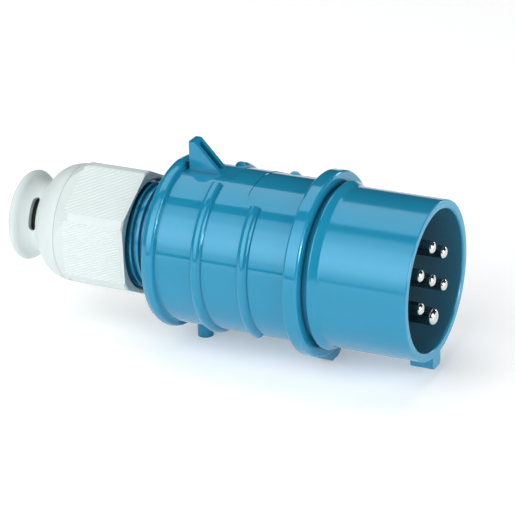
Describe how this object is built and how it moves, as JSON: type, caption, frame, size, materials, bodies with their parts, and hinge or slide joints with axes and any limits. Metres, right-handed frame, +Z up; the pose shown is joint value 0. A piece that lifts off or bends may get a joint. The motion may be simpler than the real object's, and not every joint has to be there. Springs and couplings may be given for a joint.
{
  "type": "industrial pin and sleeve plug",
  "caption": "Round industrial power plug with a keyed sleeve around contact pins, a flanged ribbed housing with a latch fin, and a screwed gland nut with a flared cable mouth.",
  "frame": {"origin": "middle of the plug's length, below its axis, at the height of the table it rests on", "axes": "+X along the plug's axis to the mouth of the sleeve, +Y to the far side seen from the picture, +Z up through the latch fin"},
  "size_m": [0.1788, 0.0736, 0.084],
  "materials": {
    "blue_plastic": "glossy moulded blue",
    "carrier_plastic": "dark grey moulded",
    "pin_metal": "nickel plated, turned",
    "screw_steel": "zinc plated",
    "seal_rubber": "matt black",
    "white_plastic": "satin white, faintly cool"
  },
  "bodies": {
    "plug": {"housing": "blue_plastic", "front_sleeve": "blue_plastic", "contact_carrier": "carrier_plastic", "pin_1": "pin_metal", "pin_2": "pin_metal", "pin_3": "pin_metal", "pin_4": "pin_metal", "pin_5": "pin_metal", "pin_6": "pin_metal", "earth_pin": "pin_metal", "terminal_screw_1": "screw_steel", "terminal_screw_2": "screw_steel", "terminal_screw_3": "screw_steel", "terminal_screw_4": "screw_steel", "terminal_screw_5": "screw_steel", "terminal_screw_6": "screw_steel", "earth_screw": "screw_steel", "flange_gasket": "seal_rubber", "cable_seal": "seal_rubber"},
    "thrust": {"thrust_ring": "white_plastic"},
    "nut": {"gland_nut": "white_plastic", "bell_mouth": "white_plastic"}
  },
  "joints": [
    {"name": "thrust_slide", "type": "slide", "parent": "plug", "child": "thrust", "axis": [1, 0, 0], "range_m": [-0.0075, 0.003]},
    {"name": "nut_turn", "type": "hinge", "parent": "thrust", "child": "nut", "pos_m": [-0.04864, 0, 0.0404], "axis": [1, 0, 0], "range_deg": [-900, 360]}
  ],
  "couplings": [
    {"joint": "thrust_slide", "follows": "nut_turn", "m_per_rad": 0.00047746}
  ]
}
